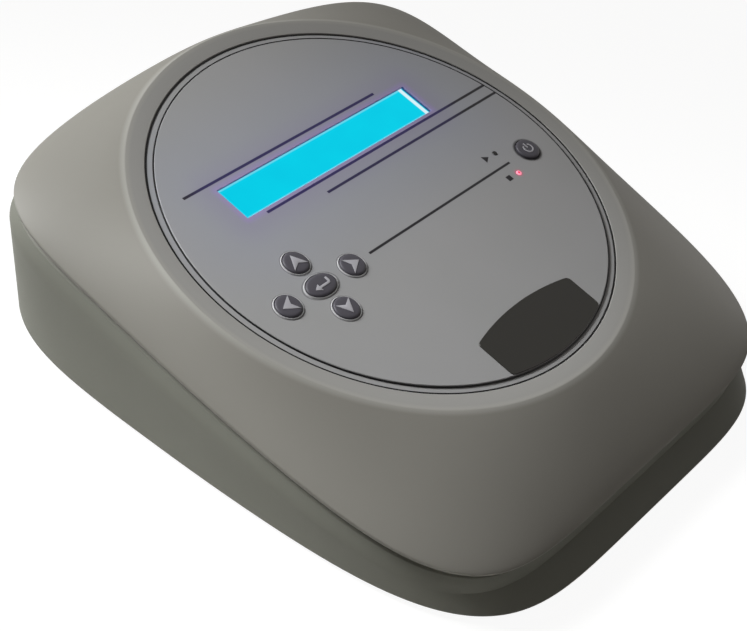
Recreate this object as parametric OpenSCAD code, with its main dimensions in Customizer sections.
// Compression therapy pump: a table-top air pump with a tilted round control
// face, a lit display, six keys, and four air outlets in a bay at the back.
// +Z is up, the user faces the front at -Y, and the origin is on the table
// under the middle of the case.

/* [Case] */
// Half width of the case at the seam between its covers
seam_half_w = 156; // [150:1:165]
// Reach of the seam in front of the middle of the control face
seam_front = 185; // [182:1:195]
// Reach of the seam behind the middle of the control face
seam_back = 150; // [148:1:158]
// Depth of the seam below the rim, square to the control face
seam_drop = 27; // [24:0.5:32]
// Tuck of the base's sides inside the seam
base_tuck = 5.5; // [0:0.5:8]
// Reach of the base in front of the middle of the control face
base_front = 187; // [184:1:200]
// Reach of the base behind the middle of the control face
base_back = 170; // [166:1:190]
// Narrowing of the case towards its front edge, as a share of its width
front_taper = 0.09; // [0:0.01:0.12]
// Bow of the rear edge
rear_bow = 24; // [10:1:30]
// Thickness of the cover walls
wall = 2.6; // [2:0.1:3.4]
// Chamfer around the base
base_chamfer = 2; // [1:0.5:4]
// Tilt of the control face towards the user, in degrees
tilt = 12; // [10:0.5:14]
// Height of the middle of the control face above the table
face_z = 87; // [84:1:100]

/* [Control face] */
// Radius of the recess that holds the control plate
recess_r = 125; // [122:0.5:128]
// Open channel between the plate and the wall of its recess
channel_w = 4.6; // [2:0.1:6]
// Width of the flat rim around the recess
rim_w = 10; // [5:0.5:12]
// Thickness of the control plate
plate_t = 3.2; // [3:0.1:4]
// Depth of the plate's face below the rim
plate_drop = 0.2; // [0:0.1:1]
// Depth of the open channel's floor below the rim
channel_depth = 1.6; // [1:0.1:2]
// Skin of the plate above its pockets
plate_skin = 1.2; // [1:0.1:1.4]
// Width of the display window
window_w = 146.5; // [120:0.5:150]
// Height of the display window
window_h = 21.6; // [16:0.1:24]
// Height of the window's middle on the face
window_v = 41.6; // [38:0.2:44]
// Margin of the clear pane around the window
pane_margin = 1.6; // [1:0.1:2.5]
// Thickness of the clear pane
pane_t = 1.5; // [1:0.1:1.8]
// Thickness of the dark nameless badge
badge_t = 0.5; // [0.3:0.1:1]
// Half width of the badge
badge_half_w = 38.5; // [25:0.5:45]
// Height of the badge's upper edge on the face
badge_v = -86.5; // [-95:0.5:-80]

/* [Keys] */
// Radius of a round key
key_r = 6.8; // [5:0.1:7.2]
// Half length of the oval key
oval_a = 9.3; // [8:0.1:10]
// Half height of the oval key
oval_b = 6.3; // [5:0.1:7]
// Sideways spacing of the arrow keys from the oval key
arrow_u = 23.4; // [22:0.1:28]
// Spacing of the arrow keys above and below the oval key
arrow_v = 17.1; // [16:0.1:22]
// Place of the oval key across the face
pad_u = -74.8; // [-80:0.2:-70]
// Place of the oval key up the face
pad_v = -20.7; // [-24:0.2:-18]
// Place of the start key across the face
start_u = 97.9; // [92:0.1:100]
// Place of the lamps across the face
lamp_u = 79; // [70:0.5:82]
// Spacing of the two lamps
lamp_spacing = 17.1; // [12:0.1:22]
// Radius of a lamp
lamp_r = 1.5; // [1:0.1:2.5]
// Height of a key above the plate
key_rise = 1.9; // [1.2:0.1:3]
// Travel of a key
key_travel = 0.6; // [0.3:0.1:0.8]
// Gap around a key
key_gap = 0.3; // [0.2:0.05:0.5]
// Flange that keeps a key in the plate, beyond its side
key_flange = 1.5; // [1:0.1:2]
// Thickness of that flange
flange_t = 0.7; // [0.5:0.1:0.8]

/* [Boards] */
// Thickness of the circuit boards
board_t = 1.6; // [1.2:0.1:2]
// Width of the display module's board
lcd_board_w = 180; // [176:1:186]
// Height of the display module's board
lcd_board_h = 40; // [38:0.5:44]
// Thickness of the display module above its board
lcd_t = 7.5; // [6:0.1:9]
// Margin of the display's frame around the window
lcd_margin = 3.6; // [3:0.1:4]
// Height of a key switch's housing
switch_h = 3.6; // [3:0.1:5]
// Width of a key switch's housing
switch_w = 6.2; // [5:0.1:8]
// Depth of the key board below the floor of the recess
key_board_drop = 7.5; // [6.5:0.1:9]
// Width of the main board
main_w = 190; // [150:1:200]
// Depth of the main board
main_d = 92; // [80:1:96]
// Height of the main board's posts above the base floor
main_post = 6; // [4:0.5:10]

/* [Air side] */
// Distance between the two pump heads
head_span = 96; // [90:1:104]
// Outer radius of a pump head
head_r = 27; // [25:0.5:28]
// Thickness of a pump head
head_t = 20; // [18:0.5:24]
// Half stroke of the armature
half_stroke = 1.5; // [0.5:0.1:1.5]
// Height of the pump's axis above the table
pump_z = 46; // [44:0.5:48]
// Spacing of the air outlets
outlet_pitch = 17; // [16:0.5:20]
// Outer radius of an air outlet
outlet_r = 4.2; // [3.5:0.1:5]
// Bore radius of an air outlet
outlet_bore_r = 2.4; // [1.5:0.1:3]
// Reach of an air outlet out of the rear panel
outlet_reach = 15; // [10:0.5:16]
// Travel of a valve plunger
plunger_travel = 1; // [0.5:0.1:1.5]

/* [Rear bay] */
// Width of the connector bay
bay_w = 150; // [146:1:160]
// Height of the connector bay
bay_h = 50; // [46:1:54]
// Bottom of the bay above the table
bay_z = 21; // [18:0.5:24]
// Depth of the rear panel's outer face inside the rear reach of the base
bay_depth = 26; // [24:0.5:28]
// Thickness of the rear panel
panel_t = 2; // [1.5:0.1:3]
// Half swing of the rocker switch, in degrees
rocker_swing = 9; // [6:1:12]
// Travel of the fuse drawer
drawer_travel = 10; // [6:1:14]

/* [Feet and fasteners] */
// Height of a rubber foot below the base
foot_h = 3; // [2:0.5:5]
// Radius of a rubber foot
foot_r = 9; // [6:0.5:12]
// Radius of a case screw's shank
case_screw_r = 1.9; // [1.5:0.1:2.4]
// Radius of a small screw's shank
screw_r = 1.2; // [1:0.1:1.5]
// Radial room around a screw's shank
screw_room = 0.05; // [0.02:0.01:0.1]

/* [Hidden] */
$fn = 48;

// Gap that keeps loose neighbours apart
free_gap = 0.3;
// Overlap that makes a cut pass right through
past = 1;

// ---- the case outline ----
outline_sides = 96;
outline_mid = 8;
bow_start = 0.4;
corner_bunching = 8;
seam_corners = [6, 8];
base_corners = [5.5, 5];
dome_steps = 8;
// Both powers near 1, so that the dome falls almost straight from a crease
dome_power = 1.2;
crease_power = 1.1;

base_half_w = seam_half_w - base_tuck;
face_y = (base_front - base_back) / 2;
base_z = foot_h;
floor_z = base_z + wall;
rim_r = recess_r + rim_w;
plate_r = recess_r - channel_w;
recess_depth = plate_drop + plate_t;
recess_floor = recess_depth + wall;

function slide_to(a, b, share) = a + (b - a) * share;
function turn_at(i) = let (t = 360 * i / outline_sides) t + corner_bunching * sin(4 * t);
function outline(a, half_w, front, back, corners) =
    let (
        forward = sin(a) < 0,
        n = forward ? corners[0] : corners[1],
        reach = forward ? front + outline_mid : back - outline_mid,
        r = pow(pow(abs(cos(a)), n) + pow(abs(sin(a)), n), -1 / n),
        y = reach * r * sin(a),
        narrow = forward ? front_taper * pow(y / reach, 2) : 0,
        x = half_w * r * cos(a),
        pull = forward ? 0 : rear_bow * pow(x / half_w, 2) * min(1, r * sin(a) / bow_start)
    )
    [x * (1 - narrow), outline_mid + y - pull];
function seam_point(a, inset) =
    outline(a, seam_half_w - inset, seam_front - inset, seam_back - inset, seam_corners);
function base_point(a, inset) =
    outline(a, base_half_w - inset, base_front - inset, base_back - inset, base_corners);
// A point of the control face's own frame, in the frame of the case
function off_face(p) = [
    p[0],
    face_y + p[1] * cos(tilt) - p[2] * sin(tilt),
    face_z + p[1] * sin(tilt) + p[2] * cos(tilt)
];
// Height of the seam above the table at a given depth of the case
function seam_z(y) = face_z + (y - face_y) * tan(tilt) - seam_drop / cos(tilt);

// One ring of the domed cover: share 0 is the rim and share 1 the seam
function dome_ring(step, inset, top) = [
    for (i = [0:outline_sides - 1])
        let (
            s = seam_point(turn_at(i), inset),
            toward = atan2(s[1], s[0]),
            t = 90 * step / dome_steps,
            out = pow(sin(t), 2 / crease_power),
            down = 1 - pow(cos(t), 2 / dome_power)
        )
        [
            slide_to((rim_r - inset) * cos(toward), s[0], out),
            slide_to((rim_r - inset) * sin(toward), s[1], out),
            slide_to(-top, -seam_drop, down)
        ]
];
// A plain circle of the face, its points in the directions of the rim's
function rim_ring(r, w) = [
    for (p = dome_ring(0, 0, 0)) [p[0] * r / rim_r, p[1] * r / rim_r, w]
];
function seam_ring(inset, w) = [
    for (i = [0:outline_sides - 1])
        let (s = seam_point(turn_at(i), inset)) [s[0], s[1], w]
];
function base_ring(inset, z) = [
    for (i = [0:outline_sides - 1])
        let (b = base_point(turn_at(i), inset)) [b[0], face_y + b[1], z]
];
function on_case(ring) = [for (p = ring) off_face(p)];

// A closed solid through a stack of rings, from the top one down
module skin(rings) {
    n = len(rings[0]);
    m = len(rings);
    sides = [
        for (k = [0:m - 2], i = [0:n - 1])
            let (j = (i + 1) % n)
            each [
                [k * n + i, k * n + j, (k + 1) * n + j],
                [k * n + i, (k + 1) * n + j, (k + 1) * n + i]
            ]
    ];
    top = [for (i = [n - 1:-1:0]) i];
    bottom = [for (i = [0:n - 1]) (m - 1) * n + i];
    polyhedron(points = [for (ring = rings) each ring], faces = concat([top, bottom], sides));
}

// ---- small helpers ----
module on_face() translate([0, face_y, face_z]) rotate([tilt, 0, 0]) children();
module block(low, high) translate(low) cube(high - low);
module rod_z(x, y, low, high, r) translate([x, y, low]) cylinder(r = r, h = high - low);
module rod_y(x, z, low, high, r) translate([x, low, z]) rotate([-90, 0, 0]) cylinder(r = r, h = high - low);
module rod_x(y, z, low, high, r) translate([low, y, z]) rotate([0, 90, 0]) cylinder(r = r, h = high - low);
module ellipse(a, b) polygon([for (i = [0:47]) [a * cos(i * 7.5), b * sin(i * 7.5)]]);
module rounded(w, h, r) {
    square([w - 2 * r, h], center = true);
    square([w, h - 2 * r], center = true);
    for (x = [-1, 1], y = [-1, 1]) translate([x * (w / 2 - r), y * (h / 2 - r)]) circle(r = r);
}
// A pan-head screw whose head rests at height 0 and whose shank points down
module pan_screw(shank_r, shank, head_h) {
    rotate_extrude() polygon([
        [0, -shank], [shank_r, -shank], [shank_r, 0], [2 * shank_r, 0],
        [2 * shank_r, head_h * 0.6], [1.5 * shank_r, head_h], [0, head_h]
    ]);
}
function corners_of(w, d) = [for (x = [-1, 1], y = [-1, 1]) [x * w / 2, y * d / 2]];

// ---- places shared by several pieces ----
front_screw = [base_half_w - 38.5, face_y - base_front + 37];
rear_screw = [base_half_w - 28.5, face_y + base_back - 50.5];
case_screw_at = [
    for (x = [-1, 1]) [x * front_screw[0], front_screw[1]],
    for (x = [-1, 1]) [x * rear_screw[0], rear_screw[1]]
];
foot_at = [
    for (x = [-1, 1]) [x * (front_screw[0] - 5), front_screw[1] + 24],
    for (x = [-1, 1]) [x * (rear_screw[0] - 8), rear_screw[1] - 30]
];
boss_r = 2 * case_screw_r + 2.2;
boss_rise = -6;
screw_grip = 10;
screw_sink = 12;
function boss_split(p) = seam_z(p[1]) + boss_rise;

screw_head_h = 2;
post_r = screw_r + 2;
pilot_depth = 5;

pane_top = plate_drop + plate_skin;
pane_bottom = pane_top + pane_t;
pane_w = window_w + 2 * pane_margin;
pane_h = window_h + 2 * pane_margin;
lcd_w = window_w + 2 * lcd_margin;
lcd_h = window_h + 2 * lcd_margin;
lcd_face = pane_bottom + 0.2;
lcd_board_top = lcd_face + lcd_t;
lcd_screw_at = corners_of(lcd_board_w - 7, lcd_board_h - 7);

// Key pad places: name, place, turn of the arrow
pad_mid = [pad_u, pad_v];
up_at = pad_mid + [0, arrow_v];
down_at = pad_mid - [0, arrow_v];
left_at = pad_mid - [arrow_u, 0];
right_at = pad_mid + [arrow_u, 0];
start_at = [start_u, pad_v + 1];
round_keys = [up_at, down_at, left_at, right_at, start_at];
all_keys = concat(round_keys, [pad_mid]);
run_at = [lamp_u, start_at[1] + lamp_spacing / 2];
stop_at = [lamp_u, start_at[1] - lamp_spacing / 2];
flange_top = plate_drop + plate_skin + free_gap;
flange_bottom = flange_top + flange_t;
stem_r = 3.5;
key_board_top = recess_floor + key_board_drop;
stem_gap = key_travel + free_gap;
switch_top = key_board_top - switch_h;
stem_end = switch_top - stem_gap;
key_board_low = [-114, pad_v - arrow_v - 11];
key_board_high = [114, pad_v + arrow_v + 8];
key_screw_at = [
    for (x = [-107, -20, 20, 107]) [x, x * x > 1000 ? pad_v - arrow_v - 6 : pad_v + arrow_v + 3]
];

module round_key_hole(at, extra, top, bottom) {
    translate([at[0], at[1], -bottom]) cylinder(r = key_r + extra, h = bottom - top);
}
module oval_key_hole(extra, top, bottom) {
    translate([pad_mid[0], pad_mid[1], -bottom])
        linear_extrude(bottom - top) ellipse(oval_a + extra, oval_b + extra);
}

// ---- covers ----
top_color = [0.60, 0.60, 0.58];
// The stacks start and end inside the hollow, so that their flat edges are true
cap_in = 3;
floor_step = 0.5;
module top_outer() {
    on_face() skin(concat(
        [rim_ring(recess_r - 2 * cap_in, -past), rim_ring(recess_r - cap_in, 0)],
        [for (k = [0:dome_steps]) dome_ring(k, 0, 0)],
        [seam_ring(wall + past, -seam_drop), seam_ring(wall + cap_in, -seam_drop + past)]
    ));
}
// The middle of the cover's wall, where what stands inside it ends
module top_middle() on_face() skin([for (k = [0:dome_steps]) dome_ring(k, wall / 2, wall / 2)]);
module top_inner() {
    on_face() {
        skin(concat(
            [for (k = [0:dome_steps - 1]) dome_ring(k, wall, recess_floor + floor_step)],
            [seam_ring(wall, -seam_drop - past)]
        ));
        translate([0, 0, -recess_floor - past]) cylinder(r = rim_r - wall - cap_in, h = past);
    }
}
module top_posts() {
    on_face() {
        for (p = lcd_screw_at)
            translate([p[0], window_v + p[1], -lcd_board_top])
                cylinder(r = post_r, h = lcd_board_top - recess_floor + wall / 2);
        for (p = key_screw_at)
            translate([p[0], p[1], -key_board_top])
                cylinder(r = post_r, h = key_board_top - recess_floor + wall / 2);
    }
}
module top_cuts() {
    on_face() {
        translate([0, 0, -recess_depth]) cylinder(r = recess_r, h = recess_depth + past, $fn = 128);
        translate([0, window_v, -recess_floor - past])
            linear_extrude(wall + 2 * past) square([lcd_w + 2 * free_gap, lcd_h + 2 * free_gap], center = true);
        for (p = all_keys)
            translate([p[0], p[1], -recess_floor - past]) cylinder(r = stem_r + 0.5, h = wall + 2 * past);
        for (p = [run_at, stop_at])
            translate([p[0], p[1], -recess_floor - past]) cylinder(r = lamp_r + 0.2, h = wall + 2 * past);
        for (p = lcd_screw_at)
            translate([p[0], window_v + p[1], -lcd_board_top - past])
                cylinder(r = screw_r + screw_room, h = lcd_board_top - recess_floor + past + wall / 2);
        for (p = key_screw_at)
            translate([p[0], p[1], -key_board_top - past])
                cylinder(r = screw_r + screw_room, h = key_board_top - recess_floor + past + wall / 2);
    }
    for (p = case_screw_at)
        rod_z(p[0], p[1], boss_split(p) - past, boss_split(p) + screw_grip + past, case_screw_r + screw_room);
}
module top_cover() color(top_color) {
    difference() {
        union() {
            difference() {
                top_outer();
                top_inner();
            }
            intersection() {
                top_middle();
                for (p = case_screw_at) rod_z(p[0], p[1], boss_split(p), face_z + recess_r, boss_r);
            }
            top_posts();
        }
        top_cuts();
    }
}

bay_low = bay_z;
bay_high = bay_z + bay_h;
bay_mid = bay_z + bay_h / 2;
rear_y = face_y + base_back;
panel_y = rear_y - bay_depth;
lip_y = panel_y - panel_t;
lip_t = 3;
lip_w = 7;
panel_screw_at = [
    for (p = corners_of(bay_w - lip_w, bay_h - lip_w)) [p[0], bay_mid + p[1]]
];
module bottom_outer() {
    skin([
        on_case(seam_ring(wall + cap_in, -seam_drop - past)),
        on_case(seam_ring(wall + past, -seam_drop)),
        on_case(seam_ring(0, -seam_drop)), base_ring(0, base_z + base_chamfer),
        base_ring(base_chamfer, base_z)
    ]);
}
module bottom_inner() {
    skin([on_case(seam_ring(wall, -seam_drop + past)), base_ring(wall, floor_z)]);
}
module bottom_middle() {
    skin([on_case(seam_ring(wall / 2, -seam_drop)), base_ring(wall / 2, base_z + wall / 2)]);
}
module bay_frame() {
    intersection() {
        bottom_middle();
        block([-bay_w / 2 - wall, lip_y - lip_t, bay_low - wall], [bay_w / 2 + wall, rear_y + past, bay_high + wall]);
    }
}
module bay_hole() {
    block([-bay_w / 2, lip_y, bay_low], [bay_w / 2, rear_y + past, bay_high]);
    block(
        [-bay_w / 2 + lip_w, lip_y - lip_t - past, bay_low + lip_w],
        [bay_w / 2 - lip_w, rear_y, bay_high - lip_w]
    );
    for (p = panel_screw_at) rod_y(p[0], p[1], lip_y - lip_t - past, lip_y + past, screw_r + screw_room);
}
vent_slots = 5;
vent_pitch = 6;
vent_w = 2.4;
module vents() {
    for (side = [-1, 1], i = [0:vent_slots - 1]) {
        x = side * (bay_w / 2 + 12 + i * vent_pitch);
        block([x - vent_w / 2, panel_y - 14, bay_low + 6], [x + vent_w / 2, rear_y + past, bay_high - 6]);
    }
}

main_at = [0, face_y - base_front + 37 + main_d / 2];
main_z = floor_z + main_post;
main_screw_at = [for (p = corners_of(main_w - 9, main_d - 9)) main_at + p];
supply_size = [84, 82];
inlet_x = bay_w / 2 - 22;
supply_side = 25;
supply_at = [inlet_x + supply_side, face_y + 66];
supply_screw_at = [for (p = corners_of(supply_size[0] - 9, supply_size[1] - 9)) supply_at + p];
board_screw_at = concat(main_screw_at, supply_screw_at);

pump_at = [-41, face_y + 56];
core_size = [head_span, 56, 46];
cradle_size = [head_span + 24, 58];
cradle_t = 2;
cradle_top = pump_z - head_r - 2;
mount_r = 6;
mount_at = [for (p = corners_of(cradle_size[0] - 14, cradle_size[1] - 14)) pump_at + p];

manifold_size = [4 * outlet_pitch + 2, 17, 20];
outlet_mid = 41 - bay_w / 2;
outlet_x = [for (i = [0:3]) outlet_mid + (i - 1.5) * outlet_pitch];
manifold_back = lip_y - 21;
manifold_mid_y = manifold_back - manifold_size[1] / 2;
manifold_low = bay_mid - manifold_size[2] / 2;
manifold_top = bay_mid + manifold_size[2] / 2;
manifold_post_at = [for (x = [-1, 1]) [outlet_mid + x * 1.2 * outlet_pitch, manifold_mid_y - 14]];

module hollow_post(p, high, r, hole_r) {
    difference() {
        rod_z(p[0], p[1], floor_z - wall / 2, high, r);
        rod_z(p[0], p[1], high - pilot_depth, high + past, hole_r);
    }
}
module bottom_posts() {
    for (p = board_screw_at) hollow_post(p, main_z, post_r, screw_r + screw_room);
    for (p = manifold_post_at) hollow_post(p, manifold_low, post_r + 2, screw_r + screw_room);
    for (p = mount_at) difference() {
        rod_z(p[0], p[1], floor_z - wall / 2, floor_z + 3, mount_r + 1.6);
        rod_z(p[0], p[1], floor_z, floor_z + 3 + past, mount_r + screw_room);
    }
}
stud_hole_r = 2;
foot_stud_r = 3;
head_room = 0.4;
module bottom_cover() color([0.42, 0.43, 0.41]) {
    difference() {
        union() {
            difference() {
                bottom_outer();
                bottom_inner();
            }
            bay_frame();
            for (p = case_screw_at) rod_z(p[0], p[1], base_z + wall / 2, boss_split(p), boss_r);
            bottom_posts();
        }
        bay_hole();
        vents();
        for (p = case_screw_at) {
            rod_z(p[0], p[1], base_z - past, boss_split(p) + past, case_screw_r + screw_room);
            rod_z(p[0], p[1], base_z - past, boss_split(p) - screw_sink, 2 * case_screw_r + head_room);
        }
        for (p = foot_at) rod_z(p[0], p[1], base_z - past, floor_z + past, foot_stud_r + screw_room);
    }
}

module feet() color([0.12, 0.12, 0.12]) {
    for (p = foot_at) translate([p[0], p[1], 0]) rotate_extrude() polygon([
        [0, 0], [foot_r - 1, 0], [foot_r, 1], [foot_r, base_z], [foot_stud_r, base_z],
        [foot_stud_r, floor_z], [foot_stud_r + 1, floor_z], [foot_stud_r, floor_z + 1.5], [0, floor_z + 1.5]
    ]);
}
module case_screws() color([0.55, 0.56, 0.58]) {
    for (p = case_screw_at)
        translate([p[0], p[1], boss_split(p) - screw_sink]) mirror([0, 0, 1])
            pan_screw(case_screw_r, screw_sink + screw_grip, 2.4);
}

// ---- control face ----
module front_plate() color([0.56, 0.56, 0.57]) on_face() {
    difference() {
        union() {
            translate([0, 0, -recess_depth]) cylinder(r = plate_r, h = plate_t, $fn = 128);
            translate([0, 0, -recess_depth])
                cylinder(r = recess_r - free_gap, h = recess_depth - channel_depth, $fn = 128);
        }
        translate([0, window_v, -recess_depth - past])
            linear_extrude(plate_t + 2 * past) square([window_w, window_h], center = true);
        translate([0, window_v, -recess_depth - past])
            linear_extrude(recess_depth - pane_top + past)
                square([lcd_w + 2 * free_gap, lcd_h + 2 * free_gap], center = true);
        for (p = round_keys) {
            round_key_hole(p, key_gap, -past, recess_depth + past);
            round_key_hole(p, key_flange + key_gap, plate_drop + plate_skin, recess_depth + past);
        }
        oval_key_hole(key_gap, -past, recess_depth + past);
        oval_key_hole(key_flange + key_gap, plate_drop + plate_skin, recess_depth + past);
        for (p = [run_at, stop_at])
            translate([p[0], p[1], -recess_depth - past]) cylinder(r = lamp_r + 0.1, h = plate_t + 2 * past);
    }
}
module display_window() color([0.05, 0.72, 0.85]) on_face() {
    translate([0, window_v, -pane_bottom])
        linear_extrude(pane_t) rounded(pane_w, pane_h, 1);
}
badge_sag = 5;
badge_arc_r = (pow(badge_half_w, 2) + pow(badge_sag, 2)) / (2 * badge_sag);
badge_u = 2;
module badge() color([0.17, 0.17, 0.16]) on_face() {
    translate([0, 0, -plate_drop]) linear_extrude(badge_t) intersection() {
        circle(r = plate_r - 0.5, $fn = 128);
        translate([badge_u, badge_v - badge_arc_r]) circle(r = badge_arc_r, $fn = 256);
        translate([badge_u, badge_v - plate_r / 2]) square([2 * badge_half_w, plate_r], center = true);
    }
}

key_color = [0.20, 0.21, 0.21];
mark_color = [0.66, 0.67, 0.68];
dome_h = 0.9;
mark_h = 0.25;
module key_mark(shape_r, kind) {
    if (kind == "arrow")
        polygon([[shape_r, 0], [-0.6 * shape_r, 0.72 * shape_r], [-0.3 * shape_r, 0], [-0.6 * shape_r, -0.72 * shape_r]]);
    else difference() {
        circle(r = shape_r);
        circle(r = shape_r - 0.8);
    }
}
module round_key(at, turn, kind) on_face() translate([at[0], at[1], 0]) {
    color(key_color) difference() {
        union() {
            rotate_extrude() polygon([
                [0, -flange_bottom], [key_r + key_flange, -flange_bottom],
                [key_r + key_flange, -flange_top], [key_r, -flange_top],
                [key_r, key_rise - plate_drop - dome_h],
                for (a = [30:15:60]) [key_r - 1.2 * (1 - cos(a)), key_rise - plate_drop - dome_h + 0.6 * dome_h * sin(a)],
                [key_r - 1.6, key_rise - plate_drop - 0.3], [key_r - 2.6, key_rise - plate_drop], [0, key_rise - plate_drop]
            ]);
            translate([0, 0, -stem_end]) cylinder(r = stem_r, h = stem_end - flange_bottom + 0.2);
        }
    }
    color(mark_color) translate([0, 0, key_rise - plate_drop]) rotate(turn)
        linear_extrude(mark_h) key_mark(key_r - 3, kind);
}
module key_up() round_key(up_at, 90, "arrow");
module key_down() round_key(down_at, -90, "arrow");
module key_left() round_key(left_at, 180, "arrow");
module key_right() round_key(right_at, 0, "arrow");
module key_start() round_key(start_at, 0, "ring");
module key_oval() on_face() translate([pad_mid[0], pad_mid[1], 0]) {
    color(key_color) {
        translate([0, 0, -flange_bottom]) linear_extrude(flange_t) ellipse(oval_a + key_flange, oval_b + key_flange);
        translate([0, 0, -flange_top]) linear_extrude(flange_top + key_rise - plate_drop - dome_h) ellipse(oval_a, oval_b);
        for (k = [1:3]) translate([0, 0, key_rise - plate_drop - dome_h])
            linear_extrude(k * dome_h / 3) ellipse(oval_a - 0.5 * k * k, oval_b - 0.5 * k * k);
        translate([0, 0, -stem_end]) cylinder(r = stem_r, h = stem_end - flange_bottom + 0.2);
    }
}
module lamp(at) on_face() translate([at[0], at[1], -key_board_top]) rotate_extrude() polygon([
    [0, 0], [lamp_r + 0.3, 0], [lamp_r + 0.3, 1], [lamp_r, 1],
    for (a = [0:15:75]) [lamp_r * cos(a), key_board_top - plate_drop + 0.1 + 0.8 * lamp_r * sin(a)],
    [0, key_board_top - plate_drop + 0.1 + 0.8 * lamp_r]
]);
module lamp_run() color([0.08, 0.09, 0.08]) lamp(run_at);
module lamp_stop() color([0.92, 0.25, 0.30]) lamp(stop_at);

module display_module() color([0.16, 0.35, 0.22]) on_face() {
    translate([0, window_v, -lcd_board_top - board_t]) difference() {
        linear_extrude(board_t) square([lcd_board_w, lcd_board_h], center = true);
        for (p = lcd_screw_at) translate([p[0], p[1], -past]) cylinder(r = screw_r + 0.2, h = board_t + 2 * past);
    }
    translate([0, window_v, -lcd_board_top]) difference() {
        linear_extrude(lcd_t) square([lcd_w, lcd_h], center = true);
        translate([0, 0, lcd_t - glass_t])
            linear_extrude(glass_t + past) square([window_w + 2, window_h + 2], center = true);
    }
    for (x = [-60:20:60])
        translate([x, window_v, -lcd_board_top - board_t - 1.4]) linear_extrude(1.4) rounded(12, 9, 1);
}
glass_t = 1.4;
module display_glass() color([0.10, 0.78, 0.90]) on_face() {
    translate([0, window_v, -lcd_face - glass_t])
        linear_extrude(glass_t) rounded(window_w + 1.4, window_h + 1.4, 0.5);
}
module display_screws() color([0.70, 0.70, 0.70]) on_face() {
    for (p = lcd_screw_at) translate([p[0], window_v + p[1], -lcd_board_top - board_t])
        mirror([0, 0, 1]) pan_screw(screw_r, board_t + 3.5, 1.6);
}
module key_board() color([0.14, 0.38, 0.22]) on_face() {
    size = key_board_high - key_board_low;
    translate([key_board_low[0], key_board_low[1], -key_board_top - board_t]) difference() {
        linear_extrude(board_t) translate(size / 2) rounded(size[0], size[1], 6);
        for (p = key_screw_at) translate([p[0] - key_board_low[0], p[1] - key_board_low[1], -past])
            cylinder(r = screw_r + 0.2, h = board_t + 2 * past);
    }
}
module key_switches() color([0.10, 0.10, 0.11]) on_face() {
    for (p = all_keys) translate([p[0], p[1], -key_board_top]) {
        linear_extrude(switch_h - 0.8) rounded(switch_w, switch_w, 0.6);
        cylinder(r = stem_r / 2, h = switch_h);
    }
}
module key_board_screws() color([0.70, 0.70, 0.70]) on_face() {
    for (p = key_screw_at) translate([p[0], p[1], -key_board_top - board_t])
        mirror([0, 0, 1]) pan_screw(screw_r, board_t + 3.5, 1.6);
}
// A flat cable of one width along a path in the Y-Z plane
module flat_cable(x, width, t, path) {
    n = len(path);
    translate([x, 0, 0]) rotate([90, 0, 90]) linear_extrude(width, center = true)
        polygon(concat(path, [for (i = [n - 1:-1:0]) path[i] + [t, 0]]));
}
main_plug = [0, main_at[1] + main_d / 2 - 12];
lcd_plug = [-40, main_plug[1]];
module ribbon_cables() color([0.75, 0.75, 0.72]) {
    key_end = off_face([0, key_board_low[1] + 6, -key_board_top - board_t]);
    lcd_end = off_face([0, window_v - lcd_board_h / 2 + 5, -lcd_board_top - board_t]);
    low = main_z + board_t + plug_h;
    flat_cable(main_plug[0], 26, 0.8, [
        [key_end[1], key_end[2]], [key_end[1], key_end[2] - 9], [main_plug[1], low + 9], [main_plug[1], low]
    ]);
    flat_cable(lcd_plug[0], 26, 0.8, [
        [lcd_end[1], lcd_end[2]], [lcd_end[1] - 3, lcd_end[2] - 8], [10, 58],
        [lcd_plug[1] + 12, 44], [lcd_plug[1], low + 9], [lcd_plug[1], low]
    ]);
}
plug_h = 7;
module main_board() color([0.13, 0.36, 0.21]) difference() {
    translate([main_at[0], main_at[1], main_z]) linear_extrude(board_t) rounded(main_w, main_d, 3);
    for (p = main_screw_at) rod_z(p[0], p[1], main_z - past, main_z + board_t + past, screw_r + 0.2);
}
module chip(x, y, w, d, h) {
    translate([main_at[0] + x, main_at[1] + y, main_z + board_t]) linear_extrude(h) rounded(w, d, 0.6);
}
module main_parts() color([0.15, 0.15, 0.16]) {
    for (p = [main_plug, lcd_plug]) chip(p[0], p[1] - main_at[1], 30, 6, plug_h);
    chip(-30, -4, 24, 24, 2);
    chip(8, -6, 16, 10, 2);
    chip(8, -24, 16, 10, 2);
    chip(-74, 20, 20, 9, 9);
    chip(74, 22, 22, 9, 9);
    for (i = [0:3]) chip(34 + 11 * i, 8, 7, 9, 4);
    for (i = [0:2]) rod_z(main_at[0] - 72 + 15 * i, main_at[1] - 22, main_z + board_t, main_z + board_t + 14, 5);
}
fin_count = 7;
module heat_sink() color([0.62, 0.63, 0.65]) {
    translate([main_at[0] + 52, main_at[1] - 22, main_z + board_t]) {
        block([-24, -12, 0], [24, 12, 2]);
        for (i = [0:fin_count - 1]) translate([0, -11 + i * 22 / (fin_count - 1), 2])
            block([-24, -0.6, 0], [24, 0.6, 14]);
    }
}
module pressure_sensor() color([0.85, 0.85, 0.83]) {
    translate([main_at[0] - 54, main_at[1] + 14, main_z + board_t]) {
        block([-8, -8, 0], [8, 8, 7]);
        for (x = [-4, 4]) difference() {
            rod_z(x, 0, 6, 14, 2);
            rod_z(x, 0, 7, 15, 1);
        }
    }
}
module supply_board() color([0.50, 0.42, 0.20]) difference() {
    translate([supply_at[0], supply_at[1], main_z]) linear_extrude(board_t) rounded(supply_size[0], supply_size[1], 3);
    for (p = supply_screw_at) rod_z(p[0], p[1], main_z - past, main_z + board_t + past, screw_r + 0.2);
}
supply_top = main_z + board_t;
terminal_h = 10;
terminal_half_w = 9.6;
terminal_y = supply_at[1] + supply_size[1] / 2 - 8;
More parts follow.
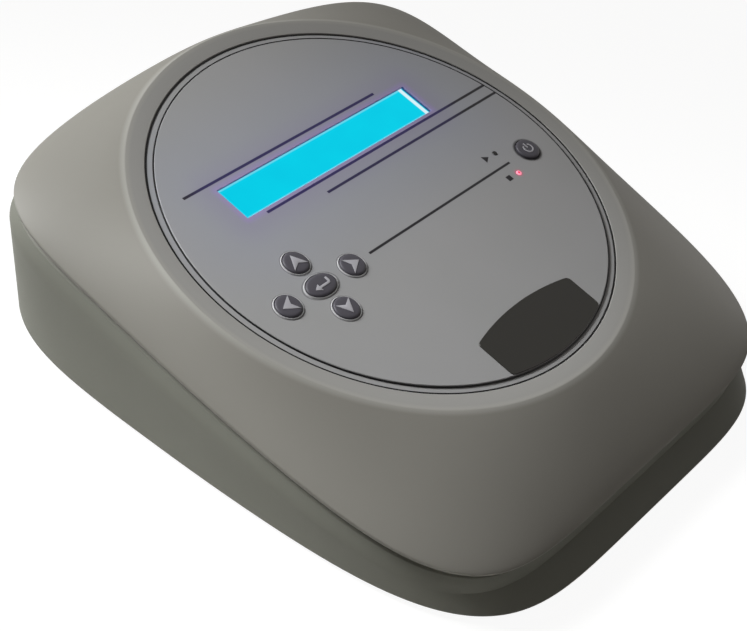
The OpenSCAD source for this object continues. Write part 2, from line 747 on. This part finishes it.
module supply_parts() color([0.12, 0.13, 0.15]) {
    block(
        [inlet_x - terminal_half_w, terminal_y - 5, supply_top],
        [inlet_x + terminal_half_w, terminal_y + 5, supply_top + terminal_h]
    );
    for (x = [-28, -8]) rod_z(supply_at[0] + x, supply_at[1] - 24, supply_top, supply_top + 28, 8.5);
    block(
        [supply_at[0] + 8, supply_at[1] - 32, supply_top],
        [supply_at[0] + 30, supply_at[1] - 14, supply_top + 16]
    );
}
transformer_size = [44, 34, 36];
module transformer() {
    at = [supply_at[0] + 6, supply_at[1] + 8];
    size = transformer_size;
    color([0.45, 0.45, 0.46]) difference() {
        block(
            [at[0] - size[0] / 2, at[1] - size[1] / 4, supply_top],
            [at[0] + size[0] / 2, at[1] + size[1] / 4, supply_top + size[2]]
        );
        block(
            [at[0] - size[0] / 2 + 6, at[1] - size[1], supply_top + 6],
            [at[0] + size[0] / 2 - 6, at[1] + size[1], supply_top + size[2] - 6]
        );
    }
    color([0.78, 0.68, 0.30])
        translate([at[0], at[1], supply_top + 6.2]) linear_extrude(size[2] - 12.4)
            rounded(size[0] - 12.4, size[1], 4);
}
module board_screws() color([0.70, 0.70, 0.70]) {
    for (p = board_screw_at) translate([p[0], p[1], supply_top]) pan_screw(screw_r, board_t + 4.5, 1.8);
    for (p = manifold_post_at)
        translate([p[0], p[1], manifold_low + manifold_foot_t]) pan_screw(screw_r, manifold_foot_t + 4.5, 1.8);
}
manifold_foot_t = 3;

// ---- tubes along a path ----
function unit(v) = v / norm(v);
// A path whose corners are rounded off over a given reach
function eased(points, reach, steps) = [
    for (i = [0:len(points) - 1])
        if (i == 0 || i == len(points) - 1) points[i]
        else
            let (
                back = unit(points[i - 1] - points[i]),
                ahead = unit(points[i + 1] - points[i]),
                pull = norm(back - ahead) / 2
            )
            each [
                for (k = [0:steps])
                    let (
                        s = k / steps,
                        p = (1 - s) * (1 - s),
                        q = 2 * s * (1 - s) * pull,
                        t = s * s
                    )
                    points[i] + reach * (p * back + t * ahead) / (p + q + t)
            ]
];
sweep_aside = unit([0.31, 0.47, 0.83]);
function sweep_ring(path, i, r, sides) =
    let (
        along = unit(path[min(i + 1, len(path) - 1)] - path[max(i - 1, 0)]),
        across = unit(cross(along, sweep_aside)),
        over = cross(across, along)
    )
    [for (k = [0:sides - 1]) let (a = 360 * k / sides) path[i] + r * (cos(a) * across + sin(a) * over)];
// The walls between each ring and the next one, up to a given ring
function sweep_walls(last, rings, sides) = [
    for (i = [0:last], k = [0:sides - 1])
        let (j = (i + 1) % rings, m = (k + 1) % sides)
        each [
            [i * sides + k, j * sides + m, j * sides + k],
            [i * sides + k, i * sides + m, j * sides + m]
        ]
];
module sweep(path, r, sides) {
    n = len(path);
    ends = [[for (k = [sides - 1:-1:0]) k], [for (k = [0:sides - 1]) (n - 1) * sides + k]];
    polyhedron(
        points = [for (i = [0:n - 1]) each sweep_ring(path, i, r, sides)],
        faces = concat(ends, sweep_walls(n - 2, n, sides))
    );
}
module tube(path, outer, inner, sides) {
    n = len(path);
    polyhedron(
        points = [
            for (i = [0:n - 1]) each sweep_ring(path, i, outer, sides),
            for (i = [n - 1:-1:0]) each sweep_ring(path, i, inner, sides)
        ],
        faces = sweep_walls(2 * n - 1, 2 * n, sides)
    );
}

// ---- pump ----
chamber_r = head_r - 5;
chamber_depth = 13;
head_inner = head_span / 2;
tunnel = [30, 16];
armature_size = [head_span - 6, 26, 10];
armature_stud_r = 4;
diaphragm_at = head_inner + chamber_depth / 2;
spigot_r = outlet_bore_r + 0.7;
spigot_len = 5;
hose_fit = 0.05;
hose_wall = 1.7;
head_screw_at = [
    for (a = [45:90:315]) (chamber_r + head_r) / 2 * [cos(a), sin(a)]
];
module at_pump() translate([pump_at[0], pump_at[1], pump_z]) children();

module pump_cradle() color([0.60, 0.61, 0.62]) {
    difference() {
        translate([pump_at[0], pump_at[1], cradle_top - cradle_t])
            linear_extrude(cradle_t) rounded(cradle_size[0], cradle_size[1], 5);
        for (p = mount_at) rod_z(p[0], p[1], cradle_top - cradle_t - past, cradle_top + past, stud_hole_r);
    }
    for (x = [-1, 1]) translate([pump_at[0] + x * core_size[0] * 0.3, pump_at[1], 0])
        block([-7, -20, cradle_top], [7, 20, pump_z - core_size[2] / 2]);
}
module pump_mounts() color([0.13, 0.13, 0.13]) {
    for (p = mount_at) {
        rod_z(p[0], p[1], floor_z, cradle_top - cradle_t, mount_r);
        rod_z(p[0], p[1], cradle_top - cradle_t - 0.5, cradle_top, stud_hole_r - screw_room);
        translate([p[0], p[1], cradle_top]) cylinder(r1 = stud_hole_r + 1.4, r2 = stud_hole_r, h = 1.6);
    }
}
coil_gap = free_gap;
coil_window = [44, 13];
module pump_core() color([0.52, 0.53, 0.55]) at_pump() difference() {
    block(-core_size / 2, core_size / 2);
    block([-core_size[0], -tunnel[0] / 2, -tunnel[1] / 2], [core_size[0], tunnel[0] / 2, tunnel[1] / 2]);
    for (side = [-1, 1]) translate([0, 0, side * (core_size[2] / 2 - coil_window[1] / 2 - 1)])
        block([-coil_window[0] / 2, -core_size[1], -coil_window[1] / 2], [coil_window[0] / 2, core_size[1], coil_window[1] / 2]);
    for (x = [-1, 1], p = head_screw_at)
        rod_x(p[0], p[1], x > 0 ? head_inner - 9 : -head_inner - past, x > 0 ? head_inner + past : 9 - head_inner, screw_r + screw_room);
}
module pump_coils() color([0.72, 0.42, 0.22]) at_pump() {
    for (side = [-1, 1]) translate([0, 0, side * (core_size[2] / 2 - coil_window[1] / 2 - 1)])
        rotate([90, 0, 0]) linear_extrude(core_size[1] + 8, center = true)
            rounded(coil_window[0] - 2 * coil_gap, coil_window[1] - 2 * coil_gap, 3);
}
module pump_armature() color([0.70, 0.71, 0.73]) at_pump() {
    block(-armature_size / 2, armature_size / 2);
    rod_x(0, 0, -diaphragm_at - 3.5, diaphragm_at + 3.5, armature_stud_r);
}
module pump_diaphragms() color([0.16, 0.16, 0.17]) at_pump() {
    for (x = [-1, 1]) translate([x * diaphragm_at, 0, 0]) rotate([0, x * 90, 0])
        rotate_extrude() polygon([
            [armature_stud_r, -3], [12, -3], [13, -1], [16, -2], [19, -1], [chamber_r - free_gap, -1],
            [chamber_r - free_gap, 1], [19, 1], [16, 0], [13, 1], [12, 3], [armature_stud_r, 3]
        ]);
}
module pump_heads() color([0.66, 0.67, 0.68]) at_pump() {
    for (x = [-1, 1]) difference() {
        union() {
            rotate([0, x * 90, 0]) translate([0, 0, head_inner]) cylinder(r = head_r, h = head_t);
            rod_y(x * (head_inner + 8), 0, head_r - 2, head_r + spigot_len, spigot_r);
        }
        rotate([0, x * 90, 0]) translate([0, 0, head_inner - past]) cylinder(r = chamber_r, h = chamber_depth + past);
        rod_y(x * (head_inner + 8), 0, 0, head_r + spigot_len + past, outlet_bore_r);
        for (p = head_screw_at)
            rod_x(p[0], p[1], x > 0 ? head_inner - past : -head_inner - head_t - past, x > 0 ? head_inner + head_t + past : past - head_inner, screw_r + screw_room);
    }
}
module head_screws() color([0.40, 0.41, 0.42]) at_pump() {
    for (x = [-1, 1], p = head_screw_at)
        translate([x * (head_inner + head_t), p[0], p[1]]) rotate([0, x * 90, 0])
            pan_screw(screw_r, head_t + 7, 1.8);
}

// ---- valves and outlets ----
valve_r = 7.5;
valve_h = 26;
plunger_r = 3;
plunger_len = 15;
plunger_low = manifold_top + free_gap;
module valve_manifold() color([0.68, 0.69, 0.71]) difference() {
    union() {
        block(
            [outlet_mid - manifold_size[0] / 2, manifold_mid_y - manifold_size[1] / 2, manifold_low],
            [outlet_mid + manifold_size[0] / 2, manifold_mid_y + manifold_size[1] / 2, manifold_top]
        );
        for (p = manifold_post_at) manifold_ear(p);
        for (x = outlet_x) rod_y(x, bay_mid, manifold_back - 1, manifold_back + spigot_len, spigot_r);
        rod_x(
            manifold_mid_y, bay_mid, outlet_mid - manifold_size[0] / 2 - spigot_len,
            outlet_mid + manifold_size[0] / 2 + spigot_len, spigot_r
        );
    }
    rod_x(
        manifold_mid_y, bay_mid, outlet_mid - manifold_size[0] / 2 - spigot_len - past,
        outlet_mid + manifold_size[0] / 2 + spigot_len + past, outlet_bore_r
    );
    for (x = outlet_x) rod_y(x, bay_mid, manifold_mid_y, manifold_back + spigot_len + past, outlet_bore_r);
    for (p = manifold_post_at)
        rod_z(p[0], p[1], manifold_low - past, manifold_low + manifold_foot_t + past, screw_r + 0.2);
}
module manifold_ear(p) {
    rod_z(p[0], p[1], manifold_low, manifold_low + manifold_foot_t, ear_r);
    block(
        [p[0] - ear_r, p[1], manifold_low],
        [p[0] + ear_r, manifold_mid_y, manifold_low + manifold_foot_t]
    );
}
ear_r = 5;
module valve_bodies() color([0.20, 0.22, 0.26]) {
    for (x = outlet_x) difference() {
        union() {
            rod_z(x, manifold_mid_y, manifold_top, manifold_top + valve_h, valve_r);
            block([x - valve_r, manifold_mid_y - valve_r, manifold_top + 5], [x + valve_r, manifold_mid_y + valve_r, manifold_top + 7]);
            block([x - valve_r, manifold_mid_y - valve_r, manifold_top + valve_h - 2], [x + valve_r, manifold_mid_y + valve_r, manifold_top + valve_h]);
        }
        rod_z(
            x, manifold_mid_y, manifold_top - past,
            plunger_low + plunger_len + plunger_travel + free_gap, plunger_r + hose_fit
        );
    }
}
module valve_plunger(i) color([0.75, 0.76, 0.78])
    rod_z(outlet_x[i], manifold_mid_y, plunger_low, plunger_low + plunger_len, plunger_r);
module valve_plunger_1() valve_plunger(0);
module valve_plunger_2() valve_plunger(1);
module valve_plunger_3() valve_plunger(2);
module valve_plunger_4() valve_plunger(3);

hose_ri = spigot_r + hose_fit;
hose_ro = hose_ri + hose_wall;
hose_bend = 8;
module hose_ring() difference() {
    circle(r = hose_ro);
    circle(r = hose_ri);
}
hose_sides = 16;
module straight_hose(length) linear_extrude(length) hose_ring();
module air_hoses() color([0.80, 0.82, 0.80]) {
    for (x = outlet_x) translate([x, manifold_back + 0.5, bay_mid]) rotate([-90, 0, 0])
        straight_hose(lip_y - nut_t - 0.5 - manifold_back - 0.5);
    for (side = [-1, 1]) {
        end_x = pump_at[0] + side * (head_inner + 8);
        port_x = outlet_mid + side * (manifold_size[0] / 2 + 0.5);
        from = [end_x, pump_at[1] + head_r + 0.5, pump_z];
        to = [port_x, manifold_mid_y, bay_mid];
        corner = [end_x, manifold_mid_y, bay_mid];
        tube(eased([from, corner, to], hose_bend, 8), hose_ro, hose_ri / cos(180 / hose_sides), hose_sides);
    }
}
nut_t = 4;
fitting_hole_r = outlet_bore_r + 2.6;
module outlet_fittings() color([0.22, 0.23, 0.23]) {
    for (x = outlet_x) translate([x, panel_y, bay_mid]) rotate([-90, 0, 0]) difference() {
        union() {
            cylinder(r = fitting_hole_r + 2.4, h = 1.6);
            cylinder(r = outlet_r, h = outlet_reach - 1);
            translate([0, 0, outlet_reach - 1.01]) cylinder(r1 = outlet_r, r2 = outlet_r - 0.8, h = 1.01);
            translate([0, 0, -panel_t - 0.01]) cylinder(r = fitting_hole_r - 0.1, h = panel_t + 0.02);
            translate([0, 0, -panel_t - nut_t]) cylinder(r = fitting_hole_r + 2.4, h = nut_t, $fn = 6);
            translate([0, 0, -panel_t - nut_t - spigot_len]) cylinder(r = spigot_r, h = spigot_len + past);
        }
        translate([0, 0, -panel_t - nut_t - spigot_len - past])
            cylinder(r = outlet_bore_r, h = outlet_reach + panel_t + nut_t + spigot_len + 2 * past);
    }
}

// ---- rear panel ----
switch_x = inlet_x - 32;
inlet_size = [27.4, 33];
inlet_depth = 24;
socket_size = [24.4, 16.4];
socket_depth = 14;
socket_z = bay_mid + 5;
drawer_size = [20, 8];
drawer_z = bay_mid - 10.5;
drawer_depth = 14;
flange_face = 2.2;
pin_size = [2, 4];
pin_at = [[0, 3.4], [-7, -2.2], [7, -2.2]];
switch_size = [13, 21];
switch_depth = 14;
rocker_size = [8.6, 15.6];
switch_room = 0.3;

module rear_panel() color([0.62, 0.63, 0.62]) difference() {
    block(
        [free_gap - bay_w / 2, lip_y, bay_low + free_gap],
        [bay_w / 2 - free_gap, panel_y, bay_high - free_gap]
    );
    for (x = outlet_x) rod_y(x, bay_mid, lip_y - past, panel_y + past, fitting_hole_r);
    for (p = panel_screw_at) rod_y(p[0], p[1], lip_y - past, panel_y + past, screw_r + 0.2);
    panel_window(inlet_x, inlet_size + [0.4, 0.4], lip_y - past, panel_y + past, bay_mid);
    panel_window(switch_x, switch_size + [0.4, 0.4], lip_y - past, panel_y + past, bay_mid);
}
// A square block through the rear panel, centred on a place of the panel
module panel_window(x, size, low, high, z) {
    block([x - size[0] / 2, low, z - size[1] / 2], [x + size[0] / 2, high, z + size[1] / 2]);
}
module panel_screws() color([0.45, 0.46, 0.47]) {
    for (p = panel_screw_at) translate([p[0], panel_y, p[1]]) rotate([-90, 0, 0])
        pan_screw(screw_r, panel_t + lip_t + 1, 1.8);
}
module mains_inlet() color([0.10, 0.10, 0.11]) difference() {
    union() {
        panel_window(inlet_x, inlet_size + [3.4, 3.4], panel_y, panel_y + flange_face, bay_mid);
        panel_window(inlet_x, inlet_size, panel_y - inlet_depth, panel_y + 0.1, bay_mid);
    }
    panel_window(inlet_x, socket_size, panel_y - socket_depth, panel_y + flange_face + past, socket_z);
    panel_window(
        inlet_x, drawer_size + 2 * [free_gap, free_gap], panel_y + flange_face - drawer_depth - free_gap,
        panel_y + flange_face + past, drawer_z
    );
    for (p = pin_at) panel_window(
        inlet_x + p[0], pin_size + [0.1, 0.1], panel_y - inlet_depth - past, panel_y - socket_depth + past,
        socket_z + p[1]
    );
}
module inlet_pins() color([0.78, 0.74, 0.55]) {
    for (p = pin_at)
        panel_window(inlet_x + p[0], pin_size, panel_y - inlet_depth - 6, panel_y - 1, socket_z + p[1]);
}
module fuse_drawer() color([0.13, 0.13, 0.14]) difference() {
    panel_window(inlet_x, drawer_size, panel_y + flange_face - drawer_depth, panel_y + flange_face + 1, drawer_z);
    panel_window(inlet_x, [8, 3], panel_y + flange_face - 1.5, panel_y + flange_face + 2, drawer_z);
}
rocker_axis_y = panel_y + flange_face - 2;
module switch_frame() color([0.11, 0.11, 0.12]) difference() {
    union() {
        panel_window(switch_x, switch_size + [2.6, 2.6], panel_y, panel_y + flange_face, bay_mid);
        panel_window(switch_x, switch_size, panel_y - switch_depth, panel_y + 0.1, bay_mid);
        for (z = [-5, 5]) panel_window(switch_x, [4.8, 0.8], panel_y - switch_depth - 6, panel_y - switch_depth + 1, bay_mid + z);
    }
    panel_window(
        switch_x, rocker_size + [2 * switch_room, 3], panel_y - 7, panel_y + flange_face + past, bay_mid
    );
    rod_x(
        rocker_axis_y, bay_mid, switch_x - rocker_size[0] / 2 - rocker_pin - free_gap,
        switch_x + rocker_size[0] / 2 + rocker_pin + free_gap,
        rocker_pin_r + hose_fit
    );
}
rocker_pin_r = 1.5;
rocker_pin = 1;
module switch_rocker() color([0.16, 0.16, 0.17])
    translate([switch_x, rocker_axis_y, bay_mid]) rotate([rocker_swing, 0, 0]) {
        half = rocker_size[1] / 2;
        rotate([90, 0, 90]) linear_extrude(rocker_size[0], center = true) polygon([
            [-3.6, -half + 2], [0.5, -half], [3.6, -half], [2.2, 0], [3.6, half], [0.5, half], [-3.6, half - 2]
        ]);
        rod_x(0, 0, -rocker_size[0] / 2 - rocker_pin, rocker_size[0] / 2 + rocker_pin, rocker_pin_r);
    }
lead_r = 1.4;
module mains_leads() color([0.55, 0.30, 0.16]) {
    tab_y = panel_y - inlet_depth - 6;
    switch_y = panel_y - switch_depth - 6;
    pin_z = socket_z + pin_at[1][1];
    low = supply_top + terminal_h;
    live_x = inlet_x + pin_at[1][0];
    neutral_x = inlet_x + pin_at[2][0];
    earth_z = socket_z + pin_at[0][1];
    sweep(eased([
        [inlet_x, tab_y, earth_z], [inlet_x, terminal_y, earth_z], [inlet_x, terminal_y, low]
    ], 8, 6), lead_r, 8);
    sweep(eased([
        [neutral_x, tab_y, pin_z], [neutral_x, terminal_y, pin_z], [neutral_x, terminal_y, low]
    ], 8, 6), lead_r, 8);
    sweep(eased([
        [live_x, tab_y, pin_z], [live_x, tab_y - 8, pin_z], [switch_x, switch_y - 8, bay_mid + 5],
        [switch_x, switch_y, bay_mid + 5]
    ], 5, 6), lead_r, 8);
    sweep(eased([
        [switch_x, switch_y, bay_mid - 5], [switch_x, switch_y - 8, bay_mid - 5],
        [live_x, terminal_y, bay_mid - 10], [live_x, terminal_y, low]
    ], 5, 6), lead_r, 8);
}

top_cover();
bottom_cover();
front_plate();
display_window();
badge();
key_up();
key_down();
key_left();
key_right();
key_oval();
key_start();
lamp_run();
lamp_stop();
display_module();
display_glass();
display_screws();
key_board();
key_switches();
key_board_screws();
ribbon_cables();
main_board();
main_parts();
heat_sink();
pressure_sensor();
supply_board();
supply_parts();
transformer();
board_screws();
pump_cradle();
pump_core();
pump_coils();
pump_armature();
pump_diaphragms();
pump_heads();
head_screws();
pump_mounts();
valve_manifold();
valve_bodies();
valve_plunger_1();
valve_plunger_2();
valve_plunger_3();
valve_plunger_4();
air_hoses();
outlet_fittings();
rear_panel();
panel_screws();
mains_inlet();
inlet_pins();
fuse_drawer();
switch_frame();
switch_rocker();
mains_leads();
feet();
case_screws();
